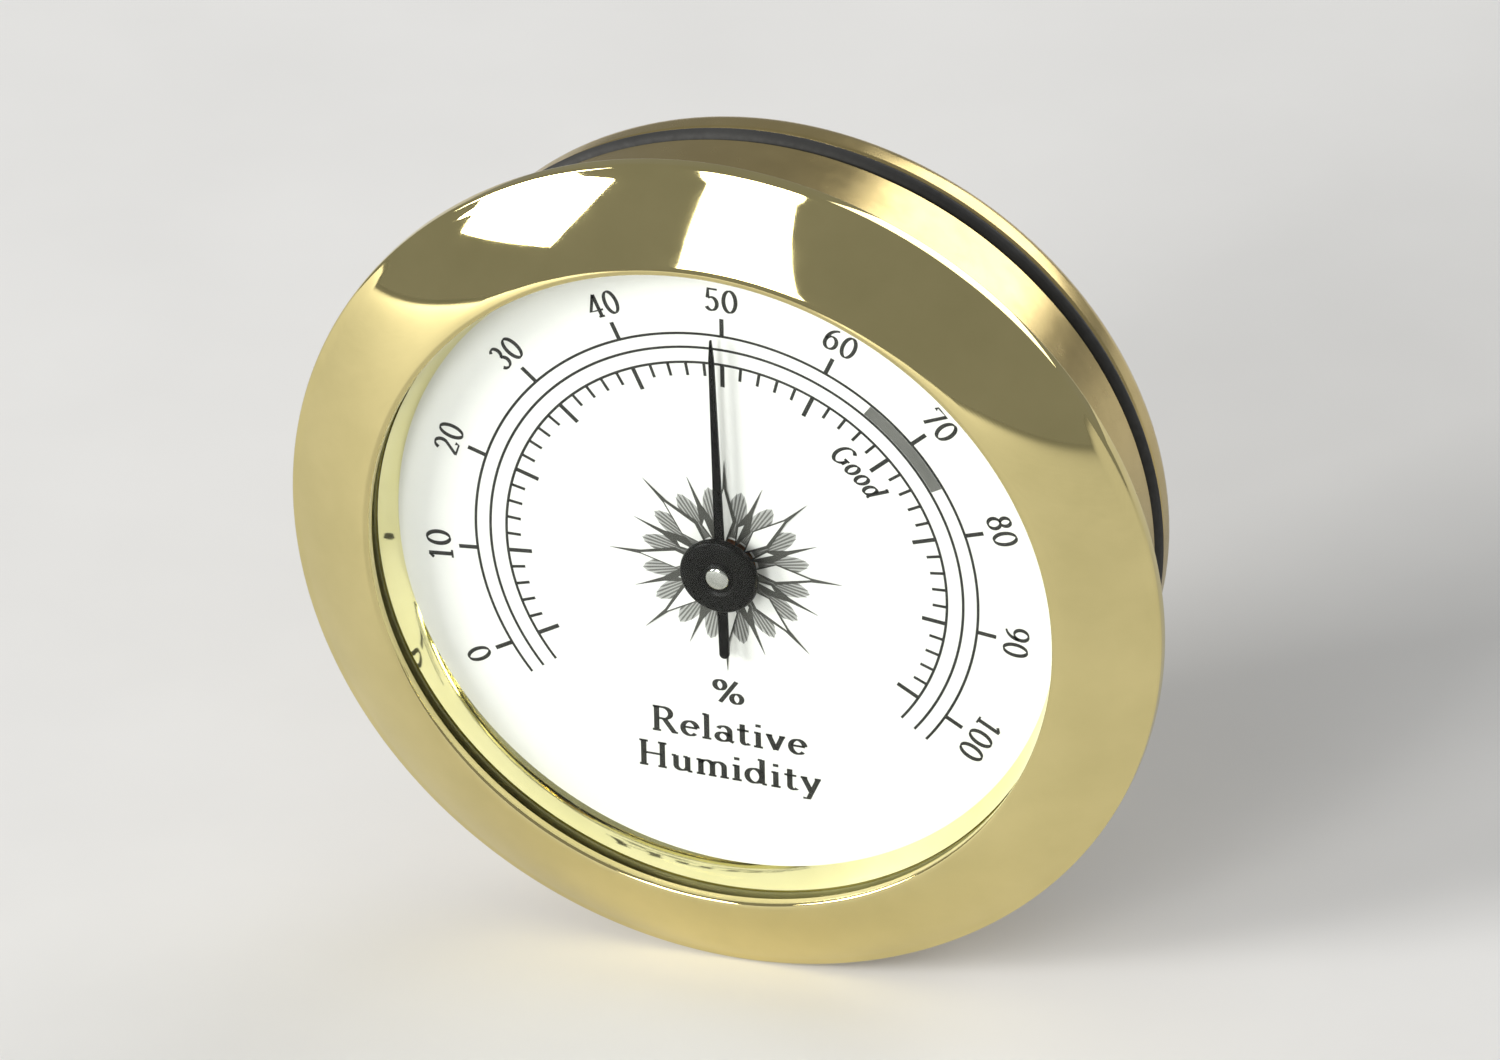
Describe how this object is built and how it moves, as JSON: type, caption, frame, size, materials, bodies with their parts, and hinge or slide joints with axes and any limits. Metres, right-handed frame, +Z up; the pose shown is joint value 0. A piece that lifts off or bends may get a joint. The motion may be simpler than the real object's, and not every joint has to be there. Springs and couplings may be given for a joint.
{
  "type": "dial hygrometer",
  "caption": "Round panel-mounted dial hygrometer: convex gilt bezel, flat glass, percent dial, black needle on a humidity-sensing coil, and a vented barrel with a rear calibrator.",
  "frame": {"origin": "centre of the barrel on the plane where the bezel and flange meet the panel", "axes": "+Z up on the dial, +Y into the panel along the barrel, the dial faces -Y"},
  "size_m": [0.05, 0.0157, 0.05],
  "materials": {
    "bezel_gilt": "polished pale gilt with fine turning lines",
    "lens_glass": "clear flat glass",
    "gasket_rubber": "matt black",
    "reflector_gilt": "mirror-polished gilt",
    "dial_print": "off-white matt enamel with fine grey and black print",
    "case_brass": "satin drawn brass",
    "grip_rubber": "matt black moulded rubber",
    "screw_steel": "turned steel",
    "movement_brass": "bright turned brass",
    "bearing_bronze": "plain bronze",
    "bracket_steel": "brushed sheet steel",
    "coil_strip": "brown moisture-sensing film on a thin metal strip",
    "arbor_steel": "polished steel",
    "pointer_black": "semi-gloss black lacquer"
  },
  "bodies": {
    "instrument": {"bezel": "bezel_gilt", "lens": "lens_glass", "lens_gasket": "gasket_rubber", "reflector_ring": "reflector_gilt", "dial_plate": "dial_print", "dial_feet": "movement_brass", "case": "case_brass", "grip_ring": "grip_rubber", "case_screws": "screw_steel", "standoffs": "movement_brass", "movement_plate": "movement_brass", "front_bush": "bearing_bronze", "bracket": "bracket_steel", "bracket_screws": "screw_steel", "friction_washer": "bearing_bronze"},
    "calibration": {"calibrator_hub": "movement_brass", "rear_bush": "bearing_bronze", "regulator_arm": "bracket_steel", "regulator_stud": "movement_brass", "hygro_coil": "coil_strip"},
    "needle": {"arbor": "arbor_steel", "coil_collet": "movement_brass", "pointer_boss": "movement_brass", "pointer": "pointer_black", "pointer_cap": "pointer_black"}
  },
  "joints": [
    {"name": "calibrator_turn", "type": "hinge", "parent": "instrument", "child": "calibration", "pos_m": [0, 0.0086, 0], "axis": [0, 1, 0], "range_deg": [-45, 45]},
    {"name": "needle_turn", "type": "hinge", "parent": "calibration", "child": "needle", "pos_m": [0, 0.0005, 0], "axis": [0, 1, 0], "range_deg": [-120, 120], "stiffness_Nm_per_rad": 0.00003, "deforming": ["hygro_coil"]}
  ]
}
